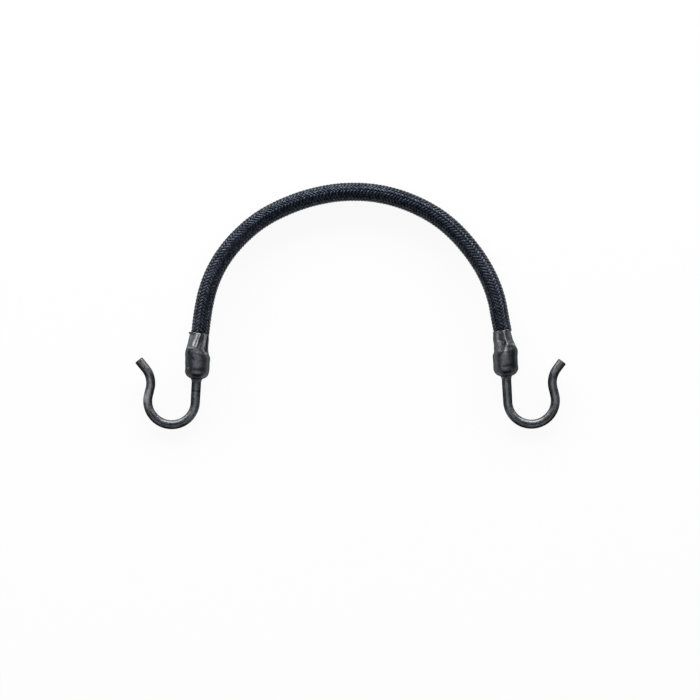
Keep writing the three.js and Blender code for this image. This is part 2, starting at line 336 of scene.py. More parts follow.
class Shade:
    """An output socket that takes part in arithmetic: each operator adds a Math node."""

    def __init__(self, paint: "Paint", socket: bpy.types.NodeSocket) -> None:
        """Keeps the socket and the tree that it is in."""
        self.paint = paint
        self.socket = socket

    def maths(self, operation: str, *values: Value) -> "Shade":
        """A Math node on these values, in order."""
        return self.paint.node("ShaderNodeMath", {"operation": operation}, dict(enumerate(values)))

    def __add__(self, other: Value) -> "Shade":
        """Sum."""
        return self.maths("ADD", self, other)

    def __radd__(self, other: Value) -> "Shade":
        """Sum, with the number first."""
        return self.maths("ADD", other, self)

    def __sub__(self, other: Value) -> "Shade":
        """Difference."""
        return self.maths("SUBTRACT", self, other)

    def __rsub__(self, other: Value) -> "Shade":
        """Difference, with the number first."""
        return self.maths("SUBTRACT", other, self)

    def __mul__(self, other: Value) -> "Shade":
        """Product."""
        return self.maths("MULTIPLY", self, other)

    def __rmul__(self, other: Value) -> "Shade":
        """Product, with the number first."""
        return self.maths("MULTIPLY", other, self)

    def __or__(self, other: Value) -> "Shade":
        """The larger of the two."""
        return self.maths("MAXIMUM", self, other)

    def rise(self, low: float, high: float) -> "Shade":
        """Smooth rise from 0 at low to 1 at high."""
        inputs = {"Value": self, "From Min": low, "From Max": high}
        return self.paint.node("ShaderNodeMapRange", {"interpolation_type": "SMOOTHSTEP"}, inputs)


class Paint:
    """Node tree of a material or of the world, with one method that makes any node."""

    def __init__(self, owner: Union[Material, bpy.types.World]) -> None:
        """Takes the owner's tree and empties it.

        Args:
            owner: Material or world that the tree belongs to.
        """
        owner.use_nodes = True
        self.tree = owner.node_tree
        self.tree.nodes.clear()

    def node(
        self,
        kind: str,
        settings: Optional[dict[str, Any]] = None,
        inputs: Optional[dict[Union[str, int], Value]] = None,
        output: Union[str, int] = 0,
    ) -> Optional[Shade]:
        """Makes a node.

        Args:
            kind: Blender's name of the node's type.
            settings: Values of the node itself, which are set first.
            inputs: A link or a value for each socket named or numbered here.
            output: Name or number of the output that is wanted.

        Returns:
            That output, or None where the node has no outputs.
        """
        made = self.tree.nodes.new(kind)
        for name, value in (settings or {}).items():
            setattr(made, name, value)
        for key, value in (inputs or {}).items():
            socket = made.inputs[key]
            if isinstance(value, Shade):
                self.tree.links.new(value.socket, socket)
            elif isinstance(value, tuple) and socket.type == "RGBA":
                socket.default_value = (*value, 1.0)
            else:
                socket.default_value = value
        return Shade(self, made.outputs[output]) if len(made.outputs) else None

    def objects(self) -> Shade:
        """Object coordinates, which are those of the frame."""
        return self.node("ShaderNodeTexCoord", output="Object")

    def surface(self, across: float, along: float) -> Shade:
        """The piece's own surface coordinates, scaled across and along it."""
        uv = self.node("ShaderNodeTexCoord", output="UV")
        return self.node("ShaderNodeMapping", None, {"Vector": uv, "Scale": (across, along, 1.0)})

    def tone(self, name: str) -> Shade:
        """A value that the mesh holds for each point."""
        return self.node("ShaderNodeAttribute", {"attribute_name": name}, output="Fac")

    def noise(self, where: Shade, size: float, detail: float = 3.0, rough: float = 0.55) -> Shade:
        """Noise whose largest blots measure about size."""
        inputs = {"Vector": where, "Scale": 1.0 / size, "Detail": detail, "Roughness": rough}
        return self.node("ShaderNodeTexNoise", None, inputs)

    def blend(self, share: Value, first: Value, second: Value) -> Shade:
        """Two colours mixed by a share of the second."""
        return self.node("ShaderNodeMix", {"data_type": "RGBA"}, {0: share, 6: first, 7: second}, 2)

    def bump(self, height: Shade, depth: float, strength: float) -> Shade:
        """Normals of a surface with that height, times depth."""
        inputs = {"Height": height, "Distance": depth, "Strength": strength}
        return self.node("ShaderNodeBump", None, inputs)

    def principled(self, **inputs: Value) -> Shade:
        """A Principled shader. Words of a socket's name are joined with underscores."""
        named = {name.replace("_", " "): value for name, value in inputs.items()}
        return self.node("ShaderNodeBsdfPrincipled", None, named)

    def mix(self, share: Shade, first: Shade, second: Shade) -> Shade:
        """Two shaders mixed by a share of the second."""
        return self.node("ShaderNodeMixShader", None, {0: share, 1: first, 2: second})

    def seen(self) -> Shade:
        """Finds which rays show a surface, and which only light other things by it.

        Returns:
            1 for rays from the camera, a mirror or a glass, and 0 for others.
        """
        kinds = ("Is Camera Ray", "Is Glossy Ray", "Is Transmission Ray")
        camera, glossy, through = (self.node("ShaderNodeLightPath", output=kind) for kind in kinds)
        return camera | glossy | through

    def finish(self, shader: Shade, kind: str = "ShaderNodeOutputMaterial") -> None:
        """Sends the shader to the output."""
        self.node(kind, None, {"Surface": shader})


# Finishes


@dataclass(frozen=True)
class Finish:
    """A material with one shader."""

    name: str  # name of the material

    def shader(self, paint: Paint) -> Shade:
        """The shader, which each kind of finish makes in its own way."""
        raise NotImplementedError

    def material(self) -> Material:
        """Builds the material.

        Returns:
            The material, with the shader on its surface.
        """
        made = bpy.data.materials.new(self.name)
        paint = Paint(made)
        paint.finish(self.shader(paint))
        return made


@dataclass(frozen=True)
class BlackCoat(Finish):
    """Black oxide on steel, half bright: grained, mottled, grey where rubbed thin, painted light and
    shade.
    """

    dark: Colour = (0.062, 0.066, 0.074)  # colour of the coat where it is thick
    pale: Colour = (0.135, 0.142, 0.157)  # colour of the coat where it is thin
    rubbed: Colour = (0.550, 0.580, 0.600)  # colour of the rubbed coat, which also paints highlights
    sooty: Colour = (0.012, 0.013, 0.015)  # colour of the coat in cracks and gashes, which also paints shade
    edge: Colour = (0.35, 0.35, 0.35)  # how much of its gloss the coat keeps at a flat angle
    blot: float = 0.0026  # size of the mottling
    grain: float = 0.00060  # size of the grain
    grain_depth: float = 0.00003  # height of the grain
    line: float = 0.00042  # width of the lines that rubbing and painted highlight lie in
    streak: float = 0.6  # share of the rubbing and painted highlight that lies in lines along the piece
    chip: float = 0.0011  # size of the small chips
    specks: float = 0.14  # how bare the chips are
    rough: float = 0.29  # roughness of the darkest coat

    def shader(self, paint: Paint) -> Shade:
        """Reads rubbing and painted highlight, or soot and painted shade where negative, from an
        attribute.

        Args:
            paint: Tree that it is made in.

        Returns:
            Soot and painted shade over rubbing and painted highlight over the mottled coat.
        """
        place, rub = paint.objects(), paint.tone("rub")
        blots = paint.noise(place, self.blot, 4.0, 0.62).rise(0.34, 0.68)
        grain = paint.noise(place, self.grain, 2.0).rise(0.3, 0.7)
        lines = paint.noise(paint.surface(1.0, 0.09), self.line, 3.0, 0.6).rise(0.36, 0.66)
        chips = paint.noise(place, self.chip, 2.0, 0.5).rise(0.71, 0.76)
        broken = self.streak * lines + (1.0 - self.streak) * blots
        # Rubbing and painted highlights lighten the coat; soot and painted shade darken it.
        lightening = (rub | 0.0) * (0.5 + 0.5 * broken)
        darkening = (-1.0 * rub).rise(0.0, 1.0)
        bare_and_highlight = lightening | chips * self.specks
        coat = paint.blend(0.5 * blots + 0.5 * grain, self.dark, self.pale)
        relief = grain + 0.5 * blots + 0.6 * (lines * lightening)
        return paint.principled(
            Base_Color=paint.blend(darkening, paint.blend(bare_and_highlight, coat, self.rubbed), self.sooty),
            Roughness=self.rough + 0.08 * blots + 0.05 * grain + 0.2 * (bare_and_highlight | darkening),
            Metallic=1.0 - 0.95 * bare_and_highlight,
            Specular_Tint=self.edge,
            Normal=paint.bump(relief, self.grain_depth, 0.8),
        )


@dataclass(frozen=True)
class BraidYarn(Finish):
    """Blue-black polyester yarn of fine filaments, with a gloss that varies by the stitch."""

    deep: Colour = (0.0018, 0.0025, 0.0068)  # colour of the darkest yarn
    faded: Colour = (0.0048, 0.0064, 0.0132)  # colour of the palest yarn
    worn: Colour = (0.031, 0.034, 0.047)  # colour of the painted sheen on the legs' lit outer sides
    gloss: Colour = (0.70, 0.84, 1.0)  # tint of its gloss
    dullest: float = 0.14  # strength of the gloss on the dullest stitches
    brightest: float = 0.48  # strength of the gloss on the brightest stitches
    filament: float = 0.00011  # width of a filament
    filament_depth: float = 0.000012  # height of the filaments
    patch: float = 0.011  # size of the patches that have one shade
    stitch: float = 0.0016  # size of the places that have one gloss

    def shader(self, paint: Paint) -> Shade:
        """Reads the yarn's own shade and its painted sheen from the points' attributes.

        Args:
            paint: Tree that it is made in.

        Returns:
            Dull and bright yarn, mixed stitch by stitch.
        """
        filaments = paint.noise(paint.surface(1.0, 0.07), self.filament, 2.0, 0.5)
        patches = paint.noise(paint.objects(), self.patch, 3.0, 0.6)
        shade = 0.45 * paint.tone("shade") + 0.35 * patches + 0.3 * filaments
        fresh = paint.blend(shade.rise(0.2, 0.85), self.deep, self.faded)
        # Painted sheen: a paler colour on the yarn tops where the legs' outer sides face the light
        wear = (paint.tone("worn") * (0.4 + 1.2 * shade)).rise(0.0, 1.0)
        looks = {
            "Base_Color": paint.blend(wear, fresh, self.worn),
            "Roughness": 0.23 + 0.10 * filaments,
            "Specular_Tint": self.gloss,
            "Normal": paint.bump(filaments, self.filament_depth, 0.8),
        }
        dull = paint.principled(Specular_IOR_Level=self.dullest, **looks)
        bright = paint.principled(Specular_IOR_Level=self.brightest, **looks)
        stitches = paint.noise(paint.objects(), self.stitch, 2.0, 0.6) + 0.25 * patches
        return paint.mix(stitches.rise(0.5, 0.75), dull, bright)


@dataclass(frozen=True)
class CutRubber(Finish):
    """Natural rubber cut into square strands: saw lines across it, and a dust of talc."""

    fresh: Colour = (0.30, 0.215, 0.120)  # colour of a fresh cut
    dusted: Colour = (0.50, 0.42, 0.30)  # colour under talc
    saw: float = 0.00016  # width of the saw lines
    saw_depth: float = 0.00004  # height of the saw lines
    dust: float = 0.0024  # size of the spots of talc

    def shader(self, paint: Paint) -> Shade:
        """Dusts the saw lines with talc.

        Args:
            paint: Tree that it is made in.

        Returns:
            The rubber.
        """
        saw = paint.noise(paint.surface(0.15, 1.0), self.saw, 2.0)
        talc = paint.noise(paint.objects(), self.dust, 4.0, 0.65).rise(0.42, 0.66)
        return paint.principled(
            Base_Color=paint.blend(talc, self.fresh, self.dusted),
            Roughness=0.62 + 0.28 * talc,
            Normal=paint.bump(saw, self.saw_depth, 0.6),
        )


@dataclass(frozen=True)
class PlatedWire(Finish):
    """Zinc-plated wire: bright, drawn lengthwise, clouded by handling."""

    bright: Colour = (0.58, 0.59, 0.60)  # colour of clean plating
    cloudy: Colour = (0.40, 0.41, 0.42)  # colour of dulled plating
    cloud: float = 0.0018  # size of the clouds
    draw: float = 0.00018  # width of the lines that drawing leaves
    draw_depth: float = 0.00002  # height of those lines

    def shader(self, paint: Paint) -> Shade:
        """Clouds the drawn plating.

        Args:
            paint: Tree that it is made in.

        Returns:
            The plating.
        """
        clouds = paint.noise(paint.objects(), self.cloud, 4.0, 0.6).rise(0.35, 0.7)
        drawn = paint.noise(paint.surface(1.0, 0.05), self.draw, 2.0)
        return paint.principled(
            Base_Color=paint.blend(clouds, self.bright, self.cloudy),
            Roughness=0.26 + 0.2 * clouds,
            Metallic=1.0,
            Normal=paint.bump(drawn, self.draw_depth, 0.5),
        )


@dataclass(frozen=True)
class PaleFloor(Finish):
    """Matt floor, nearly plain white to the eye, so that little but a shadow shows on it."""

    grey: Colour = (0.88, 0.88, 0.88)  # colour of the matt floor
    white: float = 0.92  # share of plain white in what the eye sees of it

    def shader(self, paint: Paint) -> Shade:
        """Mixes plain white into the matt floor for rays that show it.

        Args:
            paint: Tree that it is made in.

        Returns:
            The floor.
        """
        matt = paint.node("ShaderNodeBsdfDiffuse", None, {"Color": self.grey})
        plain = paint.node("ShaderNodeEmission", None, {"Color": WHITE, "Strength": 1.0})
        return paint.mix(paint.seen() * self.white, matt, plain)


# Cord


def level_axes(axis: Array, side: Side) -> Array:
    """Rows x, y and z of a turn whose z runs along the axis, with x level and pointing outwards."""
    x = unit(np.cross(axis, UP)) * side.value
    return np.stack([x, np.cross(axis, x), axis])


@dataclass(frozen=True)
class EndPlace:
    """Place of one end of the cord. The neck's axis follows the cord, and the bulb's the shank."""

    side: Side  # which end
    crossing: Array  # point where the two axes cross
    neck: Array  # rows x, y and z of the neck's turn, z out along the cord
    shank: Array  # rows of the shank's turn, z up the shank
    crossing_depth: float = 0.0053  # depth of the crossing below the ferrule's mouth
    neck_length: float = 0.009  # depth at which the axis starts to turn
    shoulder_depth: float = 0.012  # depth at which it has turned

    @classmethod
    def of(cls, side: Side, half_route: Array) -> "EndPlace":
        """Takes an end's place from its hook's joint and from the cord's first step.

        Args:
            side: Which end.
            half_route: The cord's points from this end's mouth inwards.

        Returns:
            The place.
        """
        joint = next(j for j in frame["joints"] if j["name"] == f"{side.label}_hook_swivel")
        axis = unit(np.array(joint["axis"], float))
        shank = level_axes(axis * np.sign(axis[1]), side)
        neck = level_axes(unit(half_route[1] - half_route[0]), side)
        return cls(side, np.array(joint["pos_m"], float), neck, shank)

    @property
    def mouth(self) -> Array:
        """Middle of the ferrule's mouth."""
        return self.crossing + self.crossing_depth * self.neck[2]

    def at(self, depth: Array) -> tuple[Array, Array, Array]:
        """Points on the ferrule's axis, which goes over from the neck's line to the shank's.

        Args:
            depth: Depths below the mouth, in any shape.

        Returns:
            The points, and the two directions across the axis there.
        """
        turned = smoothstep(depth, self.neck_length, self.shoulder_depth)
        run = (self.crossing_depth - np.asarray(depth))[..., None]
        z = mixed(self.neck[2], self.shank[2], turned)
        point = self.crossing + run * z
        z = unit(z)
        x = mixed(self.neck[0], self.shank[0], turned)
        x = unit(x - z * (x * z).sum(-1, keepdims=True))
        return point, x, np.cross(z, x)


@dataclass
class CordRoute:
    """Centre line of the cord, from the tail in the left ferrule to the tail in the right one."""

    # Points from the left mouth to the middle of the arch. The right half mirrors them.
    half: tuple[Point, ...] = (
        (-0.06985, 0.02134, 0.00747), (-0.06875, 0.02795, 0.00772), (-0.06760, 0.03455, 0.00770),
        (-0.06575, 0.04155, 0.00740), (-0.06305, 0.04825, 0.00685), (-0.05960, 0.05455, 0.00630),
        (-0.05550, 0.06035, 0.00570), (-0.05080, 0.06565, 0.00510), (-0.04550, 0.07045, 0.00460),
        (-0.03970, 0.07465, 0.00425), (-0.03350, 0.07820, 0.00405), (-0.02710, 0.08115, 0.00400),
        (-0.02050, 0.08345, 0.00400), (-0.01375, 0.08505, 0.00400), (-0.00690, 0.08605, 0.00400),
        (0.0, 0.08635, 0.00400),
    )
    diameter: float = 0.008  # diameter of the free cord
    # Depths below the mouths that the tails pass through.
    tail_depths: tuple[float, ...] = (0.014, 0.0122, 0.009, 0.0045)
    lift: float = 0.00030  # rise of the line over the floor that the yarns' crowns need
    # Depths below the mouth between which the cord draws in to the crimp.
    necking: Pair = (-0.0008, 0.0008)
    crimped: float = 0.74  # share of the cord's size that the crimp leaves
    # Shares of the cord's length, and how far it lies outside an even arch there.
    sway: Knots = (
        (0.05, 0.0), (0.09, 0.00030), (0.20, 0.00064), (0.29, 0.00042), (0.41, -0.00018),
        (0.57, 0.00024), (0.65, 0.00018), (0.78, -0.00072), (0.92, -0.00022), (0.95, 0.0),
    )

    def __post_init__(self) -> None:
        """Lays the line through both ends."""
        left = np.array(self.half)
        left[2:, 2] += self.lift
        right = left * [-1.0, 1.0, 1.0]
        self.ends = [EndPlace.of(Side.LEFT, left), EndPlace.of(Side.RIGHT, right)]
        tails = [end.at(np.array(self.tail_depths))[0] for end in self.ends]
        mouths = [[end.mouth] for end in self.ends]
        free = [left[1:], right[1:-1][::-1]]
        knots = np.concatenate([tails[0], mouths[0], *free, mouths[1], tails[1][::-1]])
        outward = unit(np.cross(UP, unit(np.gradient(knots, axis=0))))
        along = distances(knots)
        self.knots = knots + outward * eased(along / along[-1], self.sway)[:, None]
        self.length = smooth_line(self.knots, 2)[1]

    def stations(self, count: int) -> tuple[Array, Array, Array, Array]:
        """The line at equal steps, with a level section frame.

        Args:
            count: Number of stations.

        Returns:
            Distances along the line, points, and directions to the left and above.
        """
        points, length = smooth_line(self.knots, count)
        travel = unit(np.gradient(points, axis=0))
        left = unit(np.cross(UP, travel))
        return np.linspace(0.0, length, count), points, left, np.cross(travel, left)

    def share(self, along: Array, deeper: Number = 0.0) -> Array:
        """Share of the free cord's size that is left, which the crimp takes down at both ends.

        Args:
            along: Distances along the line.
            deeper: How much deeper the drawing in starts.

        Returns:
            The shares, in the shape of both inputs broadcast together.
        """
        to_mouth = np.minimum(along, self.length - along) - self.tail_depths[0]
        free = smoothstep(to_mouth + deeper, -self.necking[1], -self.necking[0])
        return self.crimped + (1.0 - self.crimped) * free

    def between(self, piece: Object) -> Object:
        """Bakes the piece's place into its mesh."""
        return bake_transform(piece)


@dataclass
class BraidedCover:
    """Cover of two sets of yarns, wound opposite ways, each over two and under two of the other."""

    route: CordRoute  # the cord's line
    carriers: int = 12  # yarns of each set
    pitch: float = 0.00156  # distance along the cord between yarns of one set
    half_width: float = 0.00058  # half of a yarn's width
    half_thickness: float = 0.00026  # half of a yarn's thickness
    rise: float = 0.00022  # height of a yarn's middle over the wall's middle where it lies on top
    drift: float = 0.035  # spread of the yarns' places, as a share of the room for each
    uneven: float = 0.000012  # spread of the yarns' heights
    widths: Pair = (0.95, 1.04)  # smallest and largest width of a yarn, as shares of its width
    flank_depth: float = 0.0011  # how much deeper the cover's flanks go into the ferrules in full
    wear_angle: float = math.radians(70)  # where the painted sheen is strongest, from the arch's outer side
    wear_width: float = 0.6  # angle from there at which the painted sheen has mostly run out
    wear_reach: Pair = (0.040, 0.085)  # distances from the ends between which the painted sheen runs out
    shift: float = 0.0137  # length by which each yarn's filaments differ from the last one's
    samples: int = 8  # points along a yarn for each weave, two over and two under
    # Angles of the points round a yarn, in degrees, closer on top than underneath.
    section: tuple[float, ...] = (0.0, 45.0, 90.0, 135.0, 180.0, 270.0)
    path_points: int = 240  # points of the path that declare() works out and does not use
    seed: int = 7  # seed of the yarns' differences

    def yarns(self) -> tuple[Array, Array, dict[str, Array]]:
        """Works out every yarn.

        With u the distance round the wall's middle, yarn i of one set lies at u = i p + v t and of
        the other at u = i p - v t, v along the cord. The first set is on top where
        cos(pi (u / p - 1/4)) is positive, the other where it is negative, which makes columns of
        slanting floats.

        Returns:
            Points by yarn, station and place round the yarn, surface coordinates, and the yarns'
            shade and painted sheen.
        """
        middle = self.route.diameter / 2 + self.route.lift - self.rise - self.half_thickness
        spacing = FULL_TURN * middle / self.carriers
        count = int(self.route.length / (2 * self.pitch) * self.samples)
        along, centre, left, above = self.route.stations(count)

        draw = np.random.default_rng(self.seed)
        number = np.tile(np.arange(self.carriers), 2)[:, None]
        turn = np.repeat([1.0, -1.0], self.carriers)[:, None]
        drift = draw.normal(0.0, self.drift, number.shape) * spacing
        u = number * spacing + turn * along / self.pitch * spacing
        over = np.cos(math.pi * (u / spacing - 0.25))
        height = turn * self.rise * over * (1.5 - 0.5 * over**2)
        height = height + draw.normal(0.0, self.uneven, number.shape)

        angle = (u + drift) / middle
        share = self.route.share(along, self.flank_depth * np.cos(angle) ** 2)
        outward = np.cos(angle)[..., None] * left + np.sin(angle)[..., None] * above
        line = centre + outward * ((middle + height) * share)[..., None]
        steps = np.gradient(line, axis=1)
        across = unit(np.cross(unit(steps), outward))

        beta = np.radians(self.section)
        wide = self.half_width * draw.uniform(*self.widths, number.shape)
        sideways = (wide * share)[..., None] * np.cos(beta)
        lift = (self.half_thickness * share)[..., None] * np.sin(beta) - sideways**2 / (2 * middle)
        points = (
            line[:, :, None]
            + sideways[..., None] * across[:, :, None]
            + lift[..., None] * outward[:, :, None]
        )
        ran = np.cumsum(np.linalg.norm(steps, axis=-1), axis=1) + number * self.shift
        uv = np.broadcast_arrays(beta / math.pi * self.half_width * 2, ran[..., None])
        from_end = np.minimum(along, self.route.length - along)
        # Painted sheen on the yarns' tops on the outer upper side of the legs, near the ends
        worn = bell(wrapped(angle - self.wear_angle), 0.0, self.wear_width)
        worn = worn * fall(from_end, *self.wear_reach)
        worn = worn * np.clip(turn * over, 0.0, 1.0) ** 2
        tones = {"shade": draw.uniform(0.0, 1.0, number.shape), "worn": worn}
        size = points.shape[:3]
        tones = {name: np.broadcast_to(tone[..., None], size) for name, tone in tones.items()}
        return points, np.stack(uv, axis=-1), tones

    def build(self, finish: Material) -> Object:
        """Makes the cover, which stretches between the two ends.

        Args:
            finish: Material of the yarn.

        Returns:
            The cover.
        """
        points, uv, tones = self.yarns()
        yarns, rings, sides = points.shape[:3]
        shift = (np.arange(yarns) * rings * sides)[:, None, None]
        faces = (tube_faces(rings, sides) + shift).reshape(-1, 4).tolist()
        faces += (tube_caps(rings, sides) + shift).reshape(-1, sides).tolist()
        cover = Piece(
            name="yarn_cover", nodes=["braided_cover"], slot="braid", finish=finish,
            points=points, faces=faces, uv=uv, tones=tones,
        ).build()
        return self.route.between(cover)

    def declare(self) -> None:
        path = self.route.stations(self.path_points)[1]


@dataclass
class RubberCore:
    """Square rubber strands, packed in rows without the four corners."""

    route: CordRoute  # the cord's line
    rows: int = 5  # strands in a full row
    radius: float = 0.0031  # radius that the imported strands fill
    gap: float = 0.0002  # room between strands
    rings: int = 160  # stations along a strand
    crease: float = math.radians(50)  # angle past which an edge stays sharp

    def middles(self) -> tuple[Array, float]:
        """Packs the strands in a square grid without its four corners.

        Returns:
            Middles of the strands, row by row, and the side of a strand.
        """
        half = self.rows / 2
        pitch = self.radius / math.hypot(half, half - 1)
        row, column = np.divmod(np.arange(self.rows**2), self.rows)
        place = np.stack([column, row], axis=1) + 0.5 - half
        inside = (np.abs(place) + 1 <= half).any(axis=1)
        return place[inside] * pitch, pitch - self.gap

    def build(self, finish: Material) -> list[Object]:
        """Makes the strands, each a square carried along the line.

        Args:
            finish: Material of the rubber.

        Returns:
            The strands in the order of their nodes.
        """
        along, centre, left, above = self.route.stations(self.rings)
        share = self.route.share(along)[:, None, None]
        middles, side = self.middles()
        corners = np.array([[1, 1], [-1, 1], [-1, -1], [1, -1]]) * side / 2
        faces = closed_tube(self.rings, 4)
        uv = np.stack(np.broadcast_arrays(np.arange(4) * side, along[:, None]), axis=-1)
        made = []
        for number, middle in enumerate(middles, start=1):
            across, up = np.split((middle + corners)[None] * share, 2, axis=-1)
            points = centre[:, None] + across * left[:, None] + up * above[:, None]
            strand = Piece(
                name=f"cut_strand_{number:02d}", nodes=[f"rubber_strand_{number:02d}"],
                slot="rubber", finish=finish, points=points, faces=faces, uv=uv, crease=self.crease,
            ).build()
            made.append(self.route.between(strand))
        return made


# Ends


@dataclass(frozen=True)
class Stroke:
    """A stroke on the upper side of a ferrule, seen from above. Strokes are marks, painted highlights
    and painted shade.
    """

    start: Pair  # distance from the axis towards the hook's open side, and depth below the mouth
    end: Pair  # the same for the stroke's other end
    width: float  # half of its width
    rub: float  # lightening by rubbing and painted highlight; where negative, darkening by soot and painted shade
    rise: float  # height of the sheet along it, or depth where this is negative

    @classmethod
    def table(cls, *rows: tuple[float, ...]) -> tuple["Stroke", ...]:
        """Makes strokes from rows of numbers.

        Args:
            rows: Start, end, width, rub and rise of each stroke. Lengths are in 0.01 mm.

        Returns:
            The strokes, in the same order.
        """
        fine = 0.00001
        return tuple(
            cls((a * fine, b * fine), (c * fine, d * fine), width * fine, rub, rise * fine)
            for a, b, c, d, width, rub, rise in rows
        )

    def on(self, across: Array, depth: Array) -> Array:
        """Share of the stroke at each point: a bell curve of the distance from the stroke.

        Args:
            across: Distances from the axis.
            depth: Depths below the mouth.

        Returns:
            Values from 0 to 1.
        """
        start, run = np.array(self.start), np.subtract(self.end, self.start)
        place = np.stack([across, depth], axis=-1) - start
        share = np.clip((place * run).sum(-1) / (run * run).sum(), 0.0, 1.0)
        return bell(np.linalg.norm(place - share[..., None] * run, axis=-1), 0.0, self.width)


@dataclass
class Ferrule:
    """Crimped bell ferrule: a pleated neck on the cord, a round bulb, a collar round the shank."""

    place: EndPlace  # the end that it is on
    wall: float = 0.00045  # thickness of the sheet
    mouth_radius: float = 0.00435  # radius of the neck at its mouth, on the ridges
    flare: float = 0.00015  # widening at the lip
    lip: float = 0.001  # length of the widened lip
    lip_crown: float = 0.3  # height of the lip's rounded edge, as a share of the wall
    neck_base: float = 0.00505  # radius where the neck meets the shoulder
    bulb: float = 0.0056  # radius of the bulb
    nose: float = 0.0034  # radius of the bulb's lower corner
    nose_depth: float = 0.021  # depth of the bulb's flat bottom
    collar: float = 0.00232  # outer radius of the collar
    collar_fillet: float = 0.0014  # radius between the bottom and the collar
    collar_length: float = 0.0018  # length of the collar
    bore: float = 0.0022  # radius of the hole
    arc_points: int = 40  # points of the lower corner's arc
    pleats: int = 6  # number of pleats
    pleat_depth: float = 0.00060  # depth of the valleys
    pleat_turn: float = math.radians(16)  # angle of the first ridge from the outer side
    pleat_fade: Pair = (0.0042, 0.0098)  # depths between which the pleats run out
    pleat_sharp: Pair = (1.5, 2.6)  # sharpness of the valleys at the mouth, and how much they gain
    sharp_depths: Pair = (0.003, 0.009)  # depths between which they gain it
    folds: tuple[float, ...] = (1.0,) * 6  # share of the full depth that each valley has
    twist: float = math.radians(14)  # angle that the pleats turn by on their way down
    twist_depth: float = 0.0075  # depth at which they have turned
    facets: float = 0.5  # how far the ridges are rubbed
    facet_slope: float = 1.5  # how fast that runs out from a ridge to the valley beside it
    facet_least: float = 0.05  # least share of the crimp that this is measured by
    facet_lean: Pair = (0.55, 0.45)  # share of it all round, and what the hook's open side adds
    outset: float = 0.0002  # how far the crimp stands out on the hook's open side
    outset_fade: Pair = (0.004, 0.011)  # depths between which that runs out
    flanks: float = 0.00015  # how far the bulb is spread on both flanks
    flank_depths: Pair = (0.006, 0.012)  # depths between which that begins
    # Depths, and how far the side away from the hook's opening is pushed out there.
    inner_swell: Knots = ((0.0, 0.0), (0.025, 0.0))
    outer_swell: Knots = ((0.0, 0.0), (0.025, 0.0))  # the same for the side of the hook's opening
    plain_nose: float = 0.003  # height over the bottom in which spread, swells and dents run out
    lip_depth: float = 0.0002  # mean depth of the uneven lip
    lip_dip: float = 0.0004  # further depth of the lip on both flanks
    lip_rags: float = 0.00016  # height of the lip's rags
    lip_waves: int = 5  # number of waves that make them
    lip_seed: int = 40  # what their seed is more than that of the dents
    lip_notch: float = 0.0003  # depth of the lip's notch in each valley
    lip_reach: float = 0.0024  # depth that the uneven lip reaches down to
    lip_rub: float = 0.3  # how far the lip's edge is rubbed
    lip_rub_depths: Pair = (-0.0002, 0.0004)  # depths between which that runs out
    dents: float = 0.00006  # height of the dents in the sheet
    dent_waves: int = 14  # number of waves that make the dents
    dent_length: float = 0.009  # length of the longest of them
    burr: float = 0.0  # reach of the burr on the outer side of the lip
    burr_angle: float = 0.27  # angle from its middle at which the burr has mostly run out
    burr_fade: Pair = (0.0004, 0.0014)  # depths between which it runs out
    burr_soot: float = 2.4  # how much darker the burr is
    strokes: tuple[Stroke, ...] = ()  # marks of handling and of the crimping tool, and painted highlights and painted shade
    seed: int = 1  # seed of the dents
    sides: int = 216  # points round it
    stations: tuple[int, int] = (190, 90)  # stations along the outside and the inside

    def profile(self, inset: float, exit_radius: float, fillet: float) -> Array:
        """Radius and depth from the mouth to the hole, as lines, quadratic curves and one arc.

        Args:
            inset: Distance from the outer surface: 0 outside and the wall inside.
            exit_radius: Radius of the surface at the hole.
            fillet: Radius of the curve to it.

        Returns:
            Points of the profile, close together.
        """
        neck, shoulder = self.place.neck_length, self.place.shoulder_depth
        corner_depth = self.nose_depth - self.nose
        offset, corner = self.bulb - self.nose, self.nose - inset
        mouth, base, bulb = (r - inset for r in (self.mouth_radius, self.neck_base, self.bulb))
        sweep = math.acos(max(0.0, (exit_radius + fillet - offset) / corner))
        turn = np.linspace(0.0, sweep, self.arc_points)
        arc = np.stack([np.cos(turn), np.sin(turn)], axis=1) * corner + [offset, corner_depth]
        floor = corner_depth + corner
        runs = [
            [[mouth + self.flare, 0.0]],
            quadratic((mouth, self.lip), (mouth, (self.lip + neck) / 2), (base, neck)),
            quadratic((base, neck), (bulb, (neck + shoulder) / 2), (bulb, shoulder))[1:],
            arc,
            quadratic(tuple(arc[-1]), (exit_radius, floor), (exit_radius, floor + fillet))[1:],
            [[exit_radius, self.nose_depth + self.collar_length]],
        ]
        return np.concatenate(runs)

    def valleys(self, fold: Array, depth: Array) -> tuple[Array, Array]:
        """Pleats of the crimp.

        A valley is w ((1 - cos(n a)) / 2)^s, where w is its own share and s grows with the depth,
        so that each valley narrows to a point where it runs out at the shoulder. The angle a turns
        with the depth.

        Args:
            fold: Angles from the first ridge.
            depth: Depths below the mouth.

        Returns:
            Share of the full depth that the surface is drawn in by, and how much of the crimp is
            left.
        """
        left = fall(depth, *self.pleat_fade)
        sharp = self.pleat_sharp[0] + self.pleat_sharp[1] * smoothstep(depth, *self.sharp_depths)
        twist = self.place.side.value * self.twist * smoothstep(depth, 0.0, self.twist_depth)
        turned = fold - twist
        number = np.floor(turned / FULL_TURN * self.pleats).astype(int) % self.pleats
        shares = left * np.array(self.folds)[number]
        return shares * ((1.0 - np.cos(self.pleats * turned)) / 2.0) ** sharp, left

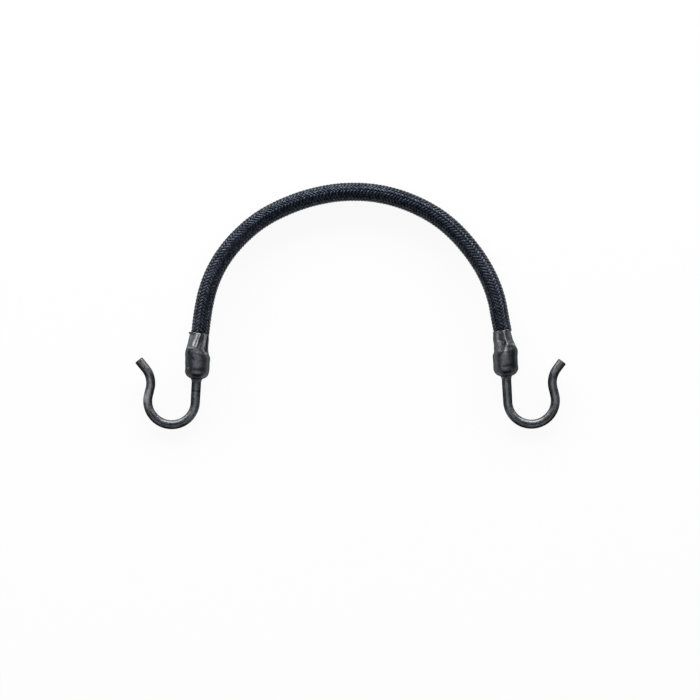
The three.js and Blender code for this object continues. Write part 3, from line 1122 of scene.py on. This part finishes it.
    def swelling(self, angle: Array, depth: Array) -> Array:
        """How far dents, the spread flanks and both sides' swells push the sheet out.

        Args:
            angle: Angles from the outer side.
            depth: Depths below the mouth.

        Returns:
            Distances by station and angle.
        """
        aside = np.cos(angle)
        swell = ripple(angle, depth, self.dent_waves, self.dent_length, self.seed) * self.dents
        swell = swell + self.flanks * aside**2 * smoothstep(depth, *self.flank_depths)
        swell = swell + eased(depth, self.inner_swell) * np.clip(-aside, 0.0, 1.0) ** 2
        swell = swell + eased(depth, self.outer_swell) * np.clip(aside, 0.0, 1.0) ** 2
        return swell * smoothstep(self.nose_depth - depth, 0.0, self.plain_nose)

    def surface(self) -> tuple[Array, Array, Array]:
        """The closed sheet: up its outside, over the lip, and down its inside.

        Returns:
            Points by station and angle, surface coordinates, and rubbing with painted highlight and
            shade.
        """
        outside = self.profile(0.0, self.collar, self.collar_fillet)
        outside = even_steps(outside, self.stations[0])[0]
        inside = even_steps(self.profile(self.wall, self.bore, 0.0), self.stations[1])[0]
        lip = [[(outside[0, 0] + inside[0, 0]) / 2, -self.lip_crown * self.wall]]
        run = np.concatenate([outside[::-1], lip, inside])
        radius, depth = run[:, :1], run[:, 1:]
        outer = np.arange(len(run))[:, None] < self.stations[0]

        fold = np.arange(self.sides)[None, :] / self.sides * FULL_TURN
        angle = fold - self.place.side.value * self.pleat_turn
        aside = np.cos(angle)
        valley, left = self.valleys(fold, depth)
        torn = bell(wrapped(angle), 0.0, self.burr_angle) * (self.burr > 0.0)
        torn = torn * fall(depth, *self.burr_fade)
        # Strokes lie only on the upper half, at the places they have as seen from above.
        stroke_side = (np.sin(angle) * -self.place.side.value > 0.0) * outer
        where = np.broadcast_arrays(radius * aside, depth)
        stroke_shares = [one_stroke.on(*where) * stroke_side for one_stroke in self.strokes]

        reach = radius - self.pleat_depth * valley + self.burr * torn + self.swelling(angle, depth)
        reach = reach + self.outset * (1.0 + aside) * fall(depth, *self.outset_fade)
        reach = reach + sum(one_stroke.rise * share for one_stroke, share in zip(self.strokes, stroke_shares))
        ragged = ripple(angle, 0.0 * depth, self.lip_waves, 1.0, self.seed + self.lip_seed)
        ragged = self.lip_rags * ragged + self.lip_notch * valley
        ragged = ragged + self.lip_depth + self.lip_dip * aside**4
        ragged = ragged * fall(depth, 0.0, self.lip_reach)
        point, x, y = self.place.at(depth + ragged)
        points = point + reach[..., None] * (aside[..., None] * x + np.sin(angle)[..., None] * y)

        uv = np.stack(np.broadcast_arrays(fold * self.mouth_radius, depth), axis=-1)
        ridge = 1.0 - self.facet_slope * valley / np.maximum(left, self.facet_least)
        ridge = np.clip(ridge, 0.0, 1.0) * left
        ridge = ridge * (self.facet_lean[0] + self.facet_lean[1] * aside) * self.facets
        edge = self.lip_rub * fall(depth, *self.lip_rub_depths)
        rub = np.where(outer, np.maximum(ridge, edge) - self.burr_soot * torn, 0.0)
        # Strokes add marks, and painted highlights and painted shade.
        rub = rub + sum(one_stroke.rub * share for one_stroke, share in zip(self.strokes, stroke_shares))
        return points, uv, np.clip(rub, -1.0, 1.0)

    def build(self, finish: Material) -> Object:
        """Makes the ferrule.

        Args:
            finish: Material of the coated sheet.

        Returns:
            The ferrule, riding on its end.
        """
        points, uv, rub = self.surface()
        label = self.place.side.label
        faces = tube_faces(len(points), self.sides, looped=True).tolist()
        made = Piece(
            name=f"{label}_bell_ferrule", nodes=[f"{label}_ferrule"], slot="coated_ferrule",
            finish=finish, points=points, faces=faces, uv=uv, tones={"rub": rub},
        ).build()
        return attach(made, self.place.side.body)


# How both sides of each ferrule swell, and the marks, painted highlights and painted shade on their
# upper sides
LEFT_INNER = (
    (0.0, -0.00025), (0.0035, 0.00010), (0.0075, 0.00012), (0.0095, 0.00020), (0.0120, 0.00006),
    (0.0155, -0.00008), (0.0190, -0.00010),
)
LEFT_OUTER = (
    (0.0, 0.0), (0.0055, 0.00004), (0.0080, 0.00020), (0.0105, 0.00010), (0.0140, -0.00005),
    (0.0180, -0.00020),
)
RIGHT_INNER = (
    (0.0, 0.00020), (0.0010, 0.00027), (0.0037, 0.00065), (0.0075, 0.00040), (0.0090, 0.00026),
    (0.0115, 0.00008), (0.0150, 0.0),
)
RIGHT_OUTER = (
    (0.0, -0.00080), (0.0020, -0.00065), (0.0042, -0.00050), (0.0070, -0.00020), (0.0100, 0.00010),
    (0.0140, -0.00006), (0.0180, -0.00005),
)
# Among the strokes are painted highlights and painted shade on the bulbs, noses, collars and flanks,
# besides creases, chips and scratches.
LEFT_STROKES = Stroke.table(
    (-20, 20, 80, 650, 38, 0.95, 3), (89, 30, 203, 620, 50, 1, 3),
    (40, 80, 145, 600, 16, -0.5, -2), (-85, 10, -15, 650, 24, -1, -4),
    (-160, 20, -110, 550, 45, -0.4, 0), (-190, 60, -185, 310, 16, -0.8, 0),
    (-265, 60, -250, 640, 40, 0.6, 4), (-390, 100, -395, 800, 45, -1, 0),
    (-215, 690, -410, 915, 42, 0.55, 4), (-215, 640, -330, 780, 22, -0.12, -3),
    (400, 40, 300, 90, 60, -0.5, 0), (400, 1620, 400, 1630, 26, 0.95, 0),
    (130, 1640, -240, 1650, 90, -0.65, 0), (73, 1785, -228, 1785, 34, 0.12, 0),
    (110, 1930, -130, 1930, 110, -0.85, 0), (180, 2115, -180, 2115, 70, -0.6, 0),
    (455, 1730, 430, 1840, 60, -0.45, 0), (90, 870, -180, 900, 90, 0.26, 0),
    (192, 1067, 22, 1282, 26, 0.12, 0), (245, 1110, 100, 1235, 26, -0.7, -3),
    (490, 790, 240, 730, 34, 0.38, 0), (240, 730, 50, 770, 34, 0.22, 0),
    (294, 833, 290, 840, 24, -0.6, 0), (315, 915, 335, 950, 60, -0.8, 0),
    (370, 880, 370, 1500, 80, -0.45, 0), (-330, 1050, -380, 1750, 100, -0.5, 0),
    (-400, 1960, -430, 1900, 70, 0.16, 0),
)
RIGHT_STROKES = Stroke.table(
    (-20, -20, 36, 90, 26, 0.62, 3), (36, 90, 54, 370, 24, 0.62, 3),
    (54, 370, 110, 640, 28, 0.7, 3), (110, 650, -30, 830, 40, 0.45, 0),
    (-285, 40, -283, 460, 32, 0.56, 3), (-230, 500, -300, 850, 80, 0.42, 0),
    (-110, 80, -90, 440, 50, -0.45, 0), (40, 510, -30, 680, 34, -1, -4),
    (-70, 760, -350, 980, 18, -0.5, 0), (-140, 780, -310, 980, 28, 0.12, 0),
    (0, 770, -360, 1190, 17, -0.6, -2), (-250, 1060, -310, 1130, 30, -0.6, 0),
    (-40, 900, -80, 1000, 36, 0.1, 0), (0, 760, -30, 980, 100, 0.26, 0),
    (160, 675, 390, 700, 28, 0.36, 4), (390, 700, 530, 900, 32, 0.55, 4),
    (320, 890, 355, 1680, 140, -0.74, 0), (-80, 1320, -80, 1321, 50, 0.18, 0),
    (-80, 1320, -80, 1321, 20, -0.6, 0), (40, 1500, -40, 1600, 150, -0.16, 0),
    (-120, 1590, 200, 1570, 66, -0.45, 0), (-100, 1715, 160, 1655, 27, 0.2, 0),
    (-120, 1890, 140, 1880, 115, -0.85, 0), (180, 2080, -180, 2080, 60, -0.55, 0),
)


def round_wire(
    line: Array, radius: Array, normal: Array, sides: int
) -> tuple[Array, Array, Array]:
    """A round wire along a line in one plane: circles across the line, each with its own radius.

    Args:
        line: Points of the line.
        radius: Radius at each point.
        normal: Normal of the plane.
        sides: Points of a circle.

    Returns:
        Points by station and angle, surface coordinates, and the angles.
    """
    across = np.cross(normal, unit(np.gradient(line, axis=0)))
    angle = np.arange(sides) / sides * FULL_TURN
    ring = np.cos(angle)[None, :, None] * across[:, None] + np.sin(angle)[None, :, None] * normal
    points = line[:, None] + radius[:, None, None] * ring
    uv = np.broadcast_arrays(angle[None] * radius.max(), distances(line)[:, None])
    return points, np.stack(uv, axis=-1), angle


@dataclass
class CordClip:
    """Wire ring closed on the cord's end inside the bulb, open at its cut."""

    place: EndPlace  # the end that it is on
    depth: float = 0.0122  # depth below the ferrule's mouth
    ring: float = 0.0040  # radius of the ring's middle
    wire: float = 0.0012  # diameter of its wire
    opening: float = math.radians(28)  # angle of the cut
    cut: float = 0.8  # share of the wire's size that is left at the cut
    cut_steps: float = 1.5  # stations over which it comes to its full size
    steps: int = 97  # stations along it
    sides: int = 20  # points round the wire
    crease: float = math.radians(40)  # angle past which an edge stays sharp

    def build(self, finish: Material) -> Object:
        """Makes the ring, a circle cut open, from a round wire with eased ends.

        Args:
            finish: Material of the plated wire.

        Returns:
            The clip, riding on its end.
        """
        middle, x, y = self.place.at(np.array(self.depth))
        angle = np.linspace(self.opening / 2, FULL_TURN - self.opening / 2, self.steps)[:, None]
        line = middle + self.ring * (np.cos(angle) * x + np.sin(angle) * y)
        from_cut = np.minimum(np.arange(self.steps), np.arange(self.steps)[::-1])
        size = self.cut + (1.0 - self.cut) * smoothstep(from_cut, 0.0, self.cut_steps)
        points, uv, _ = round_wire(line, self.wire / 2 * size, np.cross(x, y), self.sides)
        label = self.place.side.label
        made = Piece(
            name=f"{label}_clip_ring", nodes=[f"{label}_cord_clip"], slot="clip_wire",
            finish=finish, points=points, faces=closed_tube(self.steps, self.sides), uv=uv,
            crease=self.crease,
        ).build()
        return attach(made, self.place.side.body)


@dataclass(frozen=True)
class HookWear:
    """Rubbing, painted highlights and painted shade on a hook, in bands along the wire and round it.

    Places along the wire are shares of the bend, 0 where it starts and 1 where it ends. Places
    round it go from -1 inside the bend to 1 outside it. A bell is given by its middle and width,
    and a step by the places where it begins and ends.
    """

    shank_end: Pair = (0.0, 0.15)  # step along the wire at which the shank's paleness and painted shade run out
    bend_start: Pair = (0.1, 0.35)  # step at which the bend's paleness and painted shade begin
    bend_end: Pair = (0.7, 1.0)  # step at which the bend's paleness and painted shade run out
    limb_start: Pair = (0.8, 0.95)  # step at which the paleness and painted shade of the limb after the bend begin
    tip_start: Pair = (0.011, 0.006)  # the same for the tip, as distances from the cut end
    drags: tuple[Pair, Pair] = ((0.14, 0.09), (0.82, 0.09))  # bells of painted highlight at the bend's two ends
    grip: Pair = (0.97, 0.13)  # bell where the limb's pale band is widest
    gripped: float = 1.0  # how much wider and further out the limb's pale band goes there
    polished: float = 0.03  # how far the shank's middle is paled, partly rubbing and partly painted highlight
    bend_rub: float = 0.07  # how far the bend is paled on its inner side, partly rubbing and partly painted highlight
    handled: float = 0.34  # how far the limb is paled, partly rubbing and partly painted highlight
    limb_band: Pair = (0.12, 0.42)  # bell of that round the wire
    grip_band: Pair = (0.2, 0.1)  # what the widest place adds to its middle and width
    dragged: float = 0.36  # strength of the painted highlight on the inner side of the bend's two ends
    tip_drag: float = 0.6  # share of that which the tip has
    drag_band: Pair = (-0.45, 0.28)  # bell of it round the wire
    beside: Pair = (-0.12, 0.17)  # bell of the painted shade beside the bend's pale side
    beside_soot: float = 0.85  # how dark that painted shade is
    bend_edge: Pair = (0.42, 0.68)  # step of the painted shade on the bend's outer edge
    inner_edge: Pair = (0.1, 0.8)  # step of the painted shade on the limb's inner edge, going inwards
    inner_grip: float = 0.3  # how much nearer to the edge it begins where the limb's pale band is widest
    inner_soot: float = 0.7  # how dark the painted shade on that edge is
    outer_edge: Pair = (0.35, 0.8)  # step of the painted shade on the limb's outer edge
    outer_soot: float = 0.5  # how dark the painted shade on that edge is
    shank_edges: Pair = (0.2, 0.85)  # step of the painted shade on both edges of the shank
    shank_soot: float = 0.65  # how dark the painted shade on them is
    tip_edge: Pair = (0.0, 0.6)  # step of the painted shade on the tip's outer edge
    tip_soot: float = 0.7  # how dark the painted shade on that edge is

    def on(self, span: Array, side: Array, straight: float, bend: float) -> Array:
        """Rubbing, painted highlight and painted shade by the place along and round the wire.

        The shank has painted shade on both flanks. The bend is paler on its inner side, with painted
        shade beside that and along its outer edge. The limb is paler outside its middle, most where
        the bend ends, and the tip on its inner side. The paler parts are partly rubbing and partly
        painted highlight.

        Args:
            span: Distances along the wire, by station.
            side: Places round the wire.
            straight: Distance at which the bend starts.
            bend: Length of the bend.

        Returns:
            Rubbing and painted highlight, or painted shade where negative, by station and place round
            it.
        """
        share = (span - straight) / bend
        on_shank = fall(share, *self.shank_end)
        in_bend = smoothstep(share, *self.bend_start) * fall(share, *self.bend_end)
        on_tip = smoothstep(span[-1, 0] - span, *self.tip_start)
        on_limb = smoothstep(share, *self.limb_start) * (1.0 - on_tip)
        ends = sum(bell(share, *drag) for drag in self.drags)
        grip = self.gripped * bell(share, *self.grip)

        # Paler bands, partly rubbing and partly painted highlight
        rub = self.bend_rub * in_bend * np.clip(-side, 0.0, 1.0) + self.polished * on_shank
        rub = rub * (1.0 - side**2)
        lean = [at + more * grip for at, more in zip(self.limb_band, self.grip_band)]
        rub = rub + self.handled * on_limb * (1.0 + grip) * bell(side, *lean)
        rub = rub + self.dragged * (ends + self.tip_drag * on_tip) * bell(side, *self.drag_band)

        # Painted shade beside the pale bands and along the wire's edges
        beside = self.beside_soot * bell(side, *self.beside) + smoothstep(side, *self.bend_edge)
        begin, end = self.inner_edge
        flanks = self.inner_soot * smoothstep(-side, begin + self.inner_grip * grip, end)
        flanks = flanks + self.outer_soot * (1.0 - grip) * smoothstep(side, *self.outer_edge)
        darkening = in_bend * beside
        darkening = darkening + self.shank_soot * on_shank * smoothstep(np.abs(side), *self.shank_edges)
        darkening = darkening + on_limb * flanks + self.tip_soot * on_tip * smoothstep(side, *self.tip_edge)
        return rub - darkening


@dataclass
class WireHook:
    """Hook of one bent wire, with an upset head inside the ferrule and a square-cut tip."""

    place: EndPlace  # the end that it is on
    wear: HookWear = HookWear()  # rubbing that handling has left on it, with painted highlights and painted shade
    wire: float = 0.0042  # diameter of the wire
    head: float = 0.0035  # radius of the head
    head_depth: float = 0.01858  # depth of the head's top below the ferrule's mouth
    head_edge: float = 0.0004  # length of the head's eased edge
    head_rim: float = 0.0008  # length of the head's straight rim
    head_cone: float = 0.00047  # length of the cone under it
    bend_depth: float = 0.03275  # depth at which the bend starts
    bend_radius: float = 0.01085  # radius of the bend's middle line
    bend_sweep: float = math.radians(190.5)  # angle of the bend
    limb: float = 0.0034  # straight length after the bend
    tip_radius: float = 0.0108  # radius of the turned-out tip
    tip_sweep: float = math.radians(53)  # angle that it turns back
    tip: float = 0.00495  # straight length of the tip
    chamfer: float = 0.00022  # length of the tip's eased edge
    coat: float = 0.00010  # thickness that the coat gains below the ferrule
    coat_start: float = 0.0007  # length over which it gains it
    coat_depths: Pair = (0.0235, 0.0400)  # depths between which it thins out again
    uneven: float = 0.000006  # height of the wire's unevenness
    uneven_waves: int = 16  # number of waves that make it
    uneven_length: float = 0.006  # length of the longest of them
    scores: tuple[float, ...] = ()  # depths of dark rings that a tool scored into the shank
    score_width: float = 0.00026  # half of a ring's width
    score_soot: float = 0.6  # how dark the scored rings are, and the cut end, which is painted dark to dull the lamp's reflection
    cut_reach: float = 0.0006  # length of the darkened edge at the cut end
    step: float = 0.0002  # distance between stations
    sides: int = 40  # points round the wire
    crease: float = math.radians(32)  # angle past which an edge stays sharp
    seed: int = 3  # seed of the wire's unevenness

    def line(self) -> tuple[Array, Array, float]:
        """Middle line of the wire in the shank's plane.

        Each run has one curvature, so the heading a goes evenly from its start to its end. The
        place is the running sum of the steps (sin a, -cos a), with a from the middle of each step.

        Returns:
            Points, distances along the line, and the distance at which the bend starts.
        """
        straight = self.bend_depth - self.head_depth
        turns = np.array([0.0, self.bend_sweep, 0.0, -self.tip_sweep, 0.0])
        bend, tip = self.bend_radius * self.bend_sweep, self.tip_radius * self.tip_sweep
        starts = np.concatenate([[0.0], np.cumsum([straight, bend, self.limb, tip, self.tip])])
        headings = np.concatenate([[0.0], np.cumsum(turns)])
        along = np.linspace(0.0, starts[-1], int(starts[-1] / self.step) + 1)
        turned = np.interp((along[1:] + along[:-1]) / 2, starts, headings)
        steps = np.stack([np.sin(turned), -np.cos(turned)], axis=1) * np.diff(along)[:, None]
        flat = np.concatenate([[[0.0, 0.0]], np.cumsum(steps, axis=0)])
        top = self.place.crossing_depth - self.head_depth
        x, _, z = self.place.shank
        return self.place.crossing + flat[:, :1] * x + (flat[:, 1:] + top) * z, along, straight

    def build(self, finish: Material) -> Object:
        """Makes the hook.

        Args:
            finish: Material of the coated wire.

        Returns:
            The hook, riding on its own body.
        """
        line, along, straight = self.line()
        radius, rim = self.wire / 2, self.head_edge + self.head_rim
        neck, full = np.array(self.coat_depths) - self.head_depth
        cut = along[-1]
        outline = (
            (0.0, self.head - self.head_edge), (self.head_edge, self.head), (rim, self.head),
            (rim + self.head_cone, radius), (cut - self.chamfer, radius),
            (cut, radius - self.chamfer),
        )
        thickness = np.interp(along, *np.transpose(outline))
        below = smoothstep(along, neck - self.coat_start, neck)
        thickness = thickness + self.coat * below * fall(along, neck, full)
        points, uv, angle = round_wire(line, thickness, self.place.shank[1], self.sides)

        span = along[:, None]
        middle = points.mean(axis=1, keepdims=True)
        uneven = ripple(angle[None], span, self.uneven_waves, self.uneven_length, self.seed)
        points = middle + (points - middle) * (1.0 + self.uneven * uneven / radius)[..., None]

        bend = self.bend_radius * self.bend_sweep
        rub = self.wear.on(span, np.cos(angle)[None], straight, bend)
        scored = [bell(span + self.head_depth, at, self.score_width) for at in self.scores]
        # Dark scored rings, and painted shade on the cut end that dulls the lamp's reflection on it
        dark_rings_and_end = sum(scored, smoothstep(cut - span, self.cut_reach, 0.0))
        rub = np.broadcast_to(rub - self.score_soot * dark_rings_and_end, points.shape[:2])
        label = self.place.side.label
        made = Piece(
            name=f"{label}_wire_hook", nodes=[f"{label}_hook"], slot="coated_wire", finish=finish,
            points=points, faces=closed_tube(len(points), self.sides), uv=uv, tones={"rub": rub},
            crease=self.crease,
        ).build()
        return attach(made, f"{label}_hook")


# Studio


@dataclass(frozen=True)
class Lamp:
    """A soft lamp."""

    name: str  # name of the lamp
    place: Point  # where it stands
    aim: Point  # point that it faces
    size: Pair  # its width and height
    power: float  # its power in watts

    def build(self) -> None:
        """Makes the lamp."""
        light = bpy.data.lights.new(self.name, "AREA")
        light.shape = "RECTANGLE"
        light.size, light.size_y = self.size
        light.energy = self.power
        lamp = bpy.data.objects.new(self.name, light)
        lamp.location = self.place
        to_aim = Vector(self.aim) - Vector(self.place)
        lamp.rotation_euler = to_aim.to_track_quat("-Z", "Y").to_euler()
        lamp.visible_camera = False
        bpy.context.scene.collection.objects.link(lamp)


@dataclass
class Studio:
    """Pale floor, soft light, and a camera that looks straight down on the cord."""

    middle: Pair = (-0.00076, 0.01326)  # point of the floor in the middle of the picture
    field: float = 0.3237  # width of the floor that the picture shows
    focus: float = 0.005  # height at which the field is measured
    distance: float = 1.8  # height of the camera
    sensor: float = 36.0  # width of the camera's sensor, in millimetres
    floor: float = 3.0  # half of the floor's width
    drop: float = 0.00005  # how far the floor lies below the cord's lowest point
    rim: float = 0.35  # height that the floor rises to at its edge
    spread: float = 1.05  # width of the rim's upper edge, as a share of the floor's
    ambient: float = 0.20  # strength of the light from all round
    # Soft lamps.
    lamps: tuple[Lamp, ...] = (
        Lamp("top_lamp", (-0.05, 0.95, 0.31), (0.0, 0.03, 0.0), (2.6, 0.52), 40.0),
        Lamp("front_lamp", (-0.15, -0.44, 1.2), (0.0, 0.03, 0.0), (1.7, 0.62), 4.0),
    )

    def camera(self) -> None:
        """Makes the camera, which sees the field at the focus height."""
        lens = bpy.data.cameras.new("camera")
        lens.sensor_width = self.sensor
        lens.lens = self.sensor * (self.distance - self.focus) / self.field
        lens.clip_end = 4 * self.distance
        eye = bpy.data.objects.new("camera", lens)
        eye.location = (*self.middle, self.distance)
        bpy.context.scene.collection.objects.link(eye)
        bpy.context.scene.camera = eye

    def ground(self) -> None:
        """Makes the floor, white to the eye, with the cord's shadow on it and a rim all round."""
        corners = np.array([(-1.0, -1.0), (1.0, -1.0), (1.0, 1.0), (-1.0, 1.0)]) * self.floor
        low = np.column_stack([corners, np.full(4, -self.drop)])
        high = np.column_stack([corners * self.spread, np.full(4, self.rim)])
        sides = tube_faces(2, 4)[:, ::-1].tolist()
        mesh = bpy.data.meshes.new("floor")
        mesh.from_pydata(np.concatenate([low, high]).tolist(), [], [(0, 1, 2, 3), *sides])
        mesh.materials.append(PaleFloor("pale_floor").material())
        floor = bpy.data.objects.new("floor", mesh)
        bpy.context.scene.collection.objects.link(floor)

    def surround(self) -> None:
        """Makes the world: an even, pale grey light from all round."""
        world = bpy.data.worlds.new("surround")
        bpy.context.scene.world = world
        paint = Paint(world)
        even = {"Color": WHITE, "Strength": self.ambient}
        paint.finish(paint.node("ShaderNodeBackground", None, even), "ShaderNodeOutputWorld")

    def light(self) -> None:
        """Makes the floor, the world and the lamps."""
        self.ground()
        self.surround()
        for lamp in self.lamps:
            lamp.build()
        bpy.context.scene.view_settings.view_transform = "Standard"


def main() -> None:
    """Builds the camera and the cord first, then the ends and the light."""
    logging.basicConfig(level=logging.INFO, format="%(name)s %(message)s")
    studio = Studio()
    studio.camera()

    route = CordRoute()
    cover = BraidedCover(route)
    yarn_cover = cover.build(BraidYarn("braid_yarn").material())
    strands = RubberCore(route).build(CutRubber("cut_rubber").material())
    cover.declare()

    sheet = BlackCoat("ferrule_coat").material()
    wire = BlackCoat(
        "wire_coat", dark=(0.042, 0.045, 0.050), pale=(0.176, 0.185, 0.202), edge=(0.2, 0.2, 0.2),
        blot=0.0024, grain_depth=0.000006, streak=0.3, specks=0.04, rough=0.34,
    ).material()
    plated = PlatedWire("plated_wire").material()
    left, right = route.ends
    Ferrule(
        left, nose_depth=0.0215, collar_length=0.0013, folds=(0.12, 1.15, 0.7, 1.0, 1.0, 0.8),
        facets=0.22, inner_swell=LEFT_INNER, outer_swell=LEFT_OUTER, burr=0.0006,
        strokes=LEFT_STROKES, seed=11,
    ).build(sheet)
    Ferrule(
        right, nose_depth=0.0213, collar_length=0.0015, folds=(0.8, 1.0, 1.0, 0.7, 1.1, 0.1),
        facets=0.06, outset=0.0, inner_swell=RIGHT_INNER, outer_swell=RIGHT_OUTER,
        lip_depth=-0.0001, lip_dip=0.0006, strokes=RIGHT_STROKES, seed=23,
    ).build(sheet)
    for place in (left, right):
        CordClip(place).build(plated)
    WireHook(left, bend_radius=0.01101, bend_depth=0.03285, scores=(0.0271,)).build(wire)
    WireHook(
        right, HookWear(handled=0.17, gripped=0.2, polished=0.13), bend_radius=0.01103,
        bend_depth=0.03366, tip_sweep=math.radians(50), tip=0.0042, seed=5,
    ).build(wire)

    studio.light()


if __name__ == "__main__":
    main()
